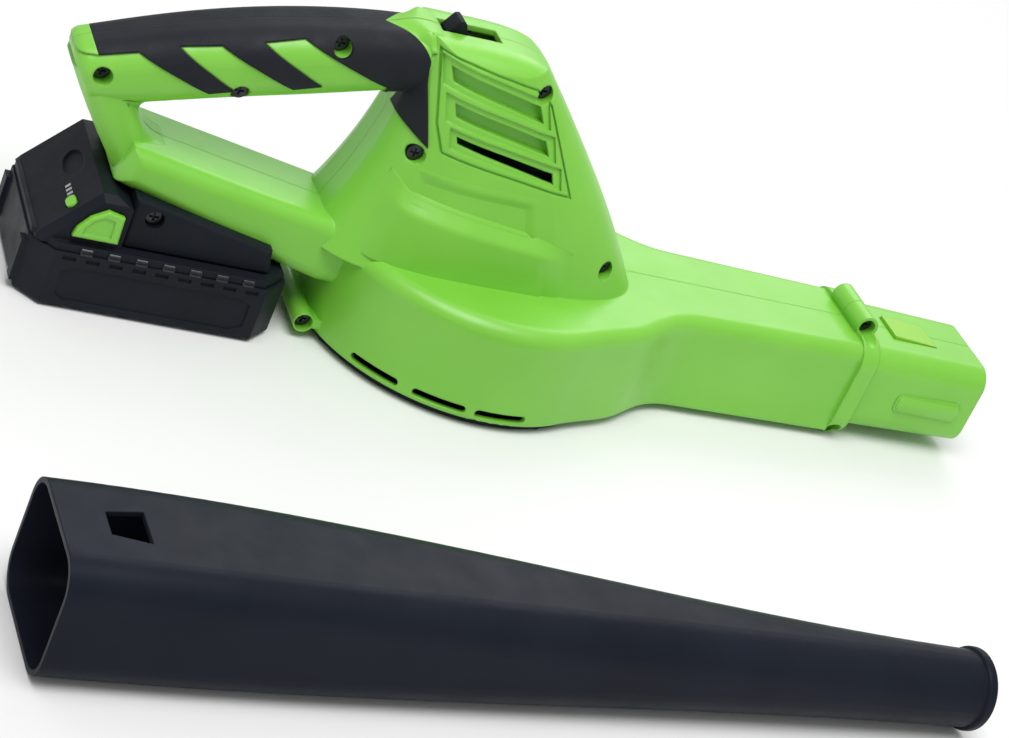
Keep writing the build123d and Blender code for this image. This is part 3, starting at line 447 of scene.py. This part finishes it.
def join_rings(bm, rings):
    """Faces of a closed wall between its neighbouring rings."""
    for low, high in zip(rings, rings[1:]):
        for i in range(len(low)):
            bm.faces.new((low[i - 1], low[i], high[i], high[i - 1]))


def close_ends(bm, rings):
    """Faces on the first and the last ring."""
    bm.faces.new(rings[0])
    bm.faces.new(rings[-1])


def thicken(bm, wall):
    """Gives a sheet a wall behind it."""
    bmesh.ops.recalc_face_normals(bm, faces=bm.faces)
    bmesh.ops.solidify(bm, geom=bm.faces[:], thickness=wall)


def draw_out(bm, way):
    """Gives a sheet a wall by drawing it out one way."""
    drawn = bmesh.ops.extrude_face_region(bm, geom=bm.faces[:])["geom"]
    bmesh.ops.translate(bm, vec=way, verts=[v for v in drawn if isinstance(v, bmesh.types.BMVert)])


def vent_pockets(name, side, skin, material):
    """Trays behind the upper slots of one flank, curved like it."""
    bm = bmesh.new()
    for vent in VENTS:
        rear_top, front_top, front_low, rear_low = grown(vent, VENT_LIP)
        rows = []
        for i in range(VENT_PARTS + 1):
            share = i / VENT_PARTS
            ends = [along((a, b), share) for a, b in ((rear_top, front_top), (rear_low, front_low))]
            row = []
            for (x, z), depths in zip(ends, ((VENT_ROOT, VENT_DEPTH), (VENT_DEPTH, VENT_ROOT))):
                out = flank(skin, x, z)
                row += [bm.verts.new((x, side * (out - depth), z)) for depth in depths]
            rows.append(row)
        join_columns(bm, rows)
        close_ends(bm, rows)
    thicken(bm, SHEET_WALL)
    piece_from(bm, f"{name}_vent_pockets", material)


def kept(node, *planes):
    """Copy of a node with everything in front of the planes cut off and the cuts closed."""
    bm = bmesh.new()
    bm.from_mesh(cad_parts[node].data)
    bmesh.ops.remove_doubles(bm, verts=bm.verts, dist=SAME_POINT)
    for at, way in planes:
        whole = bm.verts[:] + bm.edges[:] + bm.faces[:]
        cut = bmesh.ops.bisect_plane(bm, geom=whole, plane_co=at, plane_no=way, clear_outer=True)
        rim = [e for e in cut["geom_cut"] if isinstance(e, bmesh.types.BMEdge)]
        bmesh.ops.triangle_fill(bm, use_beauty=True, edges=rim)
    return bm


def grip_pieces(name, side, soft, shell):
    """The soft grip without its two ends, which are green."""
    node = f"{name}_grip"
    tongue = TONGUE_WAY.copy()
    tongue.y *= -side
    front = (TONGUE_TIP, tongue.normalized())
    back = (GRIP_REAR[0], GRIP_REAR[1].normalized())
    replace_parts(piece_from(kept(node, front, back), f"{name}_grip_soft", soft), node)
    for part, (at, way) in (("tongue", front), ("end", back)):
        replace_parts(piece_from(kept(node, (at, -way)), f"{name}_grip_{part}", shell), node)


def spigot_pad(name, side, material):
    """Raised bar with drafted, rounded ends."""
    bm = bmesh.new()
    length, wide = PAD_SIZE
    rings = []
    for lift, inset in ((-PAD_BURY, 0.0), (PAD_PROUD * PAD_SHOULDER, 0.0), (PAD_PROUD, PAD_DRAFT)):
        ring = []
        radius = PAD_RADIUS - inset
        for corner, (fore, up) in enumerate(((1, 1), (-1, 1), (-1, -1), (1, -1))):
            for step in range(PAD_STEPS + 1):
                turn = math.pi / 2 * (corner + step / PAD_STEPS)
                x = fore * (length / 2 - PAD_RADIUS) + radius * math.cos(turn)
                z = up * (wide / 2 - PAD_RADIUS) + radius * math.sin(turn)
                ring.append(bm.verts.new((PAD_MID.x + x, side * (PAD_MID.y + lift), PAD_MID.z + z)))
        rings.append(ring)
    join_rings(bm, rings)
    close_ends(bm, rings)
    piece_from(bm, f"{name}_spigot_pad", material)


def tower_foot(name, side, skin, material, columns=48, rows=24):
    """Skirt of the tower that flares out below a sloping ledge."""
    bm = bmesh.new()
    grid = []
    for i in range(columns + 1):
        share = i / columns
        (top_x, top_z), (low_x, low_z) = along(LEDGE, share), along(FOOT, share)
        proud = FOOT_PROUD * eased(along(FOOT_SHARE, share)[0])
        top_y = flank(skin, top_x, top_z - PLAIN_STRIP)
        low_y = flank(skin, low_x, FOOT_CAST)
        faded = 1.0 - proud / FOOT_PROUD
        in_panel = min(top_x - PANEL_SPAN[0], PANEL_SPAN[1] - top_x) / PANEL_FADE
        start = top_y - PANEL_DEEP * eased(in_panel) - FOOT_BURY
        column = []
        for j in range(rows + 1):
            down = j / rows
            x, z = top_x + (low_x - top_x) * down, top_z + (low_z - top_z) * down
            read_z = min(max(z, FOOT_CAST), top_z - PLAIN_STRIP)
            skin_y = flank(skin, x, read_z) + FLANK_LEAN * max(FOOT_CAST - z, 0.0)
            plain = top_y + (low_y - top_y) * down
            level = plain + (skin_y - plain - FOOT_BURY) * faded + proud * (1.0 - FOOT_LOSS * down)
            rise = min(down / FOOT_SLOPE, 1.0)
            column.append(bm.verts.new((x, side * (start + (level - start) * rise), z)))
        grid.append(column)
    join_columns(bm, grid)
    thicken(bm, FOOT_WALL)
    piece_from(bm, f"{name}_tower_foot", material)


def recess_slopes(name, side, skin, material, columns=60, rows=24):
    """Soft slopes round the recess of one flank, down to its floor."""
    bm = bmesh.new()
    rear_top, front_top, front_low, rear_low = RECESS
    wide = front_top[0] - rear_top[0]
    grid = []
    for i in range(columns + 1):
        run = -RIM_WIDE + (wide + 2 * RIM_WIDE) * i / columns
        top, low = along((rear_top, front_top), run / wide), along((rear_low, front_low), run / wide)
        tall = top[1] - low[1]
        column = []
        for j in range(rows + 1):
            fall = -RIM_WIDE + (tall + RIM_WIDE) * j / rows
            x, z = along((top, low), fall / tall)
            inside = min(run, wide - run, fall)
            if inside < 0.0:
                out = flank(skin, x, z) + apron(-inside)
            else:
                level = min(max(fall, RECESS_INSIDE), tall - RECESS_INSIDE)
                read_x, read_z = along((top, low), level / tall)
                nudge = RECESS_INSIDE * ((run < RECESS_INSIDE) - (wide - run < RECESS_INSIDE))
                sunk = eased(inside / RECESS_SLOPE)
                out = flank(skin, read_x + nudge, read_z)
                out += (PANEL_DEEP + RIM_OVER) * (1.0 - sunk) - RIM_UNDER * sunk
            column.append(bm.verts.new((x, side * out, z)))
        grid.append(column)
    join_columns(bm, grid)
    thicken(bm, SHEET_WALL)
    piece_from(bm, f"{name}_recess_slopes", material)


def nose_close(name, side, skin, material, columns=22, rows=16):
    """Shell that carries the nose of the tower up to its rounded top."""
    bm = bmesh.new()
    grid = []
    low_z, top_z = NOSE_SPAN
    for i in range(columns + 1):
        y = SEAM_HALF + (NOSE_HALF - SEAM_HALF) * i / columns
        low_x, top_x = nose_front(skin, side, y, low_z), nose_front(skin, side, y, top_z)
        column = []
        for j in range(rows + 1):
            z = low_z - RIM_WIDE + (top_z - low_z + 2 * RIM_WIDE) * j / rows
            away = max(low_z - z, z - top_z)
            if away < 0.0:
                x = low_x + (top_x - low_x) * (z - low_z) / (top_z - low_z) + RIM_OVER
            else:
                x = nose_front(skin, side, y, z) + apron(away)
            sink = NOSE_SINK * eased((y - NOSE_HALF + RIM_WIDE) / RIM_WIDE)
            column.append(bm.verts.new((x - sink, side * y, z)))
        grid.append(column)
    join_columns(bm, grid)
    draw_out(bm, (-DRAWN_WALL, 0.0, 0.0))
    piece_from(bm, f"{name}_nose_close", material)


def brow_ends(side, skin, soft, y):
    """Where the ramp starts on the grip and where the tower stands up, as x."""
    start_x = TONGUE_TIP.x + y
    for _ in range(BROW_ROUNDS):
        start_x = TONGUE_TIP.x + y - TONGUE_WAY.z * (top_of(soft, side, start_x, y) - TONGUE_TIP.z)
    before = max(top_of(skin, side, BEFORE_TOWER, y), top_of(soft, side, BEFORE_TOWER, y))
    level = (top_of(skin, side, ON_TOWER, y) + before) / 2
    return start_x, met(skin, (BEHIND_TOWER, side * max(y, OFF_SEAM), level), (1.0, 0.0, 0.0)).x


def tower_brow(name, side, skin, material, columns=24, rows=34):
    """Ramp that carries the green tongue up to the top of the tower."""
    soft = skin_of(f"{name}_grip")
    reach = OFF_SEAM
    while reach < BROW_HALF:
        start_x, wall_x = brow_ends(side, skin, soft, reach)
        if start_x > wall_x - BROW_LEAST:
            break
        reach += BROW_STEP
    bm = bmesh.new()
    grid = []
    for i in range(columns + 1):
        y = SEAM_HALF + (reach - SEAM_HALF) * i / columns
        start_x, wall_x = brow_ends(side, skin, soft, y)
        reads = [wall_x - BROW_STOP * part / BROW_READS for part in range(BROW_READS)]
        crest = max(top_of(soft, side, x, y) for x in reads)
        crest = max(crest, top_of(skin, side, wall_x + RIM_FLAT, y)) + RIM_OVER
        fade = eased((reach - y) / BROW_FADE)
        column = []
        for j in range(rows + 1):
            x = start_x + (wall_x + BROW_RUN - start_x) * j / rows
            if x > wall_x:
                roof = max(top_of(skin, side, max(x, wall_x + RIM_FLAT), y) - RIM_UNDER, crest - BROW_DROP)
                z = crest + (roof - crest) * eased((x - wall_x - RIM_FLAT) / (BROW_RUN - RIM_FLAT))
            else:
                base = max(top_of(soft, side, min(x, wall_x - BROW_STOP), y), crest - BROW_DROP)
                z = base + (crest - base) * eased((x - start_x) / (wall_x - BROW_STOP - start_x))
            sink = (1.0 - fade) * BROW_SINK + (RIM_UNDER if j == 0 else 0.0)
            column.append(bm.verts.new((x, side * y, z - sink)))
        grid.append(column)
    join_columns(bm, grid)
    draw_out(bm, (0.0, 0.0, -DRAWN_WALL))
    piece_from(bm, f"{name}_tower_brow", material)


def boss_pad(side, skin, material):
    """Low round pad that follows the flank."""
    at_x, at_z = BOSS_AT
    turns = [math.tau * i / BOSS_PARTS for i in range(BOSS_PARTS)]
    ways = [(math.cos(turn), math.sin(turn)) for turn in turns]
    reads = [flank(skin, at_x + BOSS_READ * fore, at_z + BOSS_READ * up) for fore, up in ways]
    middle = sum(reads) / BOSS_PARTS
    bm = bmesh.new()
    rings = []
    for radius in BOSS_RINGS:
        ring = []
        for (fore, up), read in zip(ways, reads):
            x, z = at_x + radius * fore, at_z + radius * up
            if radius > BOSS_READ:
                out = flank(skin, x, z) + apron(RIM_FLAT + radius - BOSS_READ)
            else:
                out = middle + (read - middle) * radius / BOSS_READ + RIM_OVER
            ring.append(bm.verts.new((x, side * out, z)))
        rings.append(ring)
    join_rings(bm, rings)
    bm.faces.new(rings[0])
    thicken(bm, SHEET_WALL)
    piece_from(bm, "left_boss_pad", material)


def crossing(a, b, c, d):
    """Where the lines through a and b and through c and d meet, as x and z."""
    along_ab, along_cd = b - a, d - c
    return a + along_ab * (c - a).cross(along_cd) / along_ab.cross(along_cd)


def rounded(upper, corner, outer, share, fade, steps=10):
    """Section of a rounded corner with its rims, as x and z: along one face, then the other, and back."""
    up, out = (upper - corner).normalized(), (outer - corner).normalized()
    reach = CORNER_REACH * (CORNER_LEAST + (1.0 - CORNER_LEAST) * fade)
    start, end = corner + up * reach * share, corner + out * reach
    sunk = -(up + out).normalized()
    line = [start + up * CORNER_TAIL + sunk * RIM_UNDER]
    for k in range(steps + 1):
        t = k / steps
        line.append(start * (1 - t) ** 2 + corner * 2 * t * (1 - t) + end * t ** 2)
    line.append(end + out * CORNER_TAIL + sunk * RIM_UNDER)
    line.append(corner + sunk * CORNER_BURY)
    return line


def handle_corners(name, side, skin, material, columns=20):
    """Rounded corners where the upright meets the strut below it and the handle above it."""
    bm = bmesh.new()
    low_rings, high_rings = [], []
    at_strut, at_handle = CORNER_SHARES
    rear, down = (-1.0, 0.0, 0.0), (0.0, 0.0, -1.0)
    for i in range(columns + 1):
        y = side * (OFF_SEAM + (CORNER_HALF - OFF_SEAM) * i / columns)
        upright = [Vector((met(skin, (OPENING_X, y, z), rear).x, z)) for z in UPRIGHT_AT]
        underside = [Vector((met(skin, (OPENING_X, y, z), rear).x, z)) for z in UNDERSIDE_AT]
        strut = [Vector((x, met(skin, (x, y, OPENING_Z), down).z)) for x in STRUT_AT]
        fade = eased((CORNER_HALF - abs(y)) / CORNER_FADE)
        low_line = rounded(upright[1], crossing(*upright, *strut), strut[1], at_strut, fade)
        high_line = rounded(upright[0], crossing(*upright, *underside), underside[1], at_handle, fade)
        piece_y = y if i else side * SEAM_HALF
        for rings, line in ((low_rings, low_line), (high_rings, high_line)):
            rings.append([bm.verts.new((at.x, piece_y, at.y)) for at in line])
    for rings in (low_rings, high_rings):
        join_rings(bm, rings)
        close_ends(bm, rings)
    piece_from(bm, f"{name}_handle_corners", material)


def switch_thumb(material):
    """Slider with a peaked thumb ridge and a low tread before it."""
    at_x, at_z = THUMB_AT
    bm = kept("switch_slider", (Vector((at_x, 0.0, at_z)), Vector((0.0, 0.0, 1.0))))
    rings = []
    for y in (-THUMB_HALF, THUMB_HALF):
        rings.append([bm.verts.new((at_x + x, y, at_z - THUMB_BURY + z)) for x, z in THUMB])
    join_rings(bm, rings)
    close_ends(bm, rings)
    piece = piece_from(bm, "switch_thumb", material, "slider")
    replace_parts(piece, "switch_slider")


def battery_teeth(name, side, material):
    """Row of small glossy ribs with drafted ends."""
    bm = bmesh.new()
    flat = TOOTH_HALF - TOOTH_END
    ends = ((-TOOTH_HALF, TOOTH_END), (-flat, 0.0), (flat, 0.0), (TOOTH_HALF, TOOTH_END))
    for i in range(TEETH):
        mid = TEETH_AT + TEETH_PITCH * i
        rings = []
        for x, draft in ends:
            rings.append([bm.verts.new((mid + x, side * (y - draft), z - draft)) for y, z in TOOTH])
        join_rings(bm, rings)
        close_ends(bm, rings)
    piece_from(bm, f"{name}_battery_teeth", material, "battery")


def latch_lug(material):
    """Latch whose ramp stands only a little over the spigot."""
    piece = piece_from(kept("tube_latch", LATCH_TOP), "latch_lug", material, "latch")
    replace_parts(piece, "tube_latch")


def make_pieces(green, soft, black, gloss, lime):
    """All the pieces. The left flank stands in for both where the right one has screw recesses."""
    plain = skin_of("left_housing")
    for name, side in SIDES.items():
        skin = skin_of(f"{name}_housing")
        vent_pockets(name, side, plain, green)
        grip_pieces(name, side, soft, green)
        spigot_pad(name, side, green)
        tower_foot(name, side, plain, green)
        recess_slopes(name, side, plain, green)
        nose_close(name, side, skin, green)
        tower_brow(name, side, skin, green)
        handle_corners(name, side, skin, green)
        battery_teeth(name, side, gloss)
    boss_pad(SIDES["left"], plain, green)
    switch_thumb(black)
    latch_lug(lime)


# Floor and light
FLOOR_HALF = 6.0
FLOOR_DROP = 0.0004           # under the blower's feet
FLOOR_GREY = (0.84, 0.84, 0.84, 1.0)
SKY_STRENGTH = 0.5


def make_floor():
    mesh = bpy.data.meshes.new("floor")
    corners = [(x * FLOOR_HALF, y * FLOOR_HALF, 0) for x, y in ((-1, -1), (1, -1), (1, 1), (-1, 1))]
    mesh.from_pydata(corners, [], [(0, 1, 2, 3)])
    floor = bpy.data.objects.new("floor", mesh)
    floor.location.z = -FLOOR_DROP
    scene.collection.objects.link(floor)
    s = Shader("pale_floor", FLOOR_GREY, rough=0.8)
    s.roughness(s.span(s.noise(scale=6.0, detail=3.0), 0.75, 0.85))
    s.bsdf.inputs["Specular IOR Level"].default_value = 0.1
    mesh.materials.append(s.done())


def lamp(name, at, aim, size, power):
    """Round soft light that looks at a point."""
    data = bpy.data.lights.new(name, "AREA")
    data.shape = "DISK"
    data.size = size
    data.energy = power
    obj = bpy.data.objects.new(name, data)
    obj.location = at
    obj.rotation_euler = (Vector(aim) - Vector(at)).to_track_quat("-Z", "Y").to_euler()
    scene.collection.objects.link(obj)


def make_light():
    world = bpy.data.worlds.new("studio")
    world.use_nodes = True
    ground = world.node_tree.nodes["Background"]
    ground.inputs["Color"].default_value = (1.0, 1.0, 1.0, 1.0)
    ground.inputs["Strength"].default_value = SKY_STRENGTH
    scene.world = world
    lamp("key", at=(-0.2, -0.7, 2.1), aim=(0.0, -0.1, 0.0), size=1.6, power=36.0)
    lamp("rim", at=(0.9, 1.5, 1.5), aim=(0.0, 0.0, 0.05), size=1.6, power=14.0)


make_camera()
finish = dress()
make_pieces(finish["green_plastic"], finish["grip_rubber"], finish["case_plastic"], finish["gloss_plastic"],
            finish["latch_plastic"])
make_floor()
make_light()
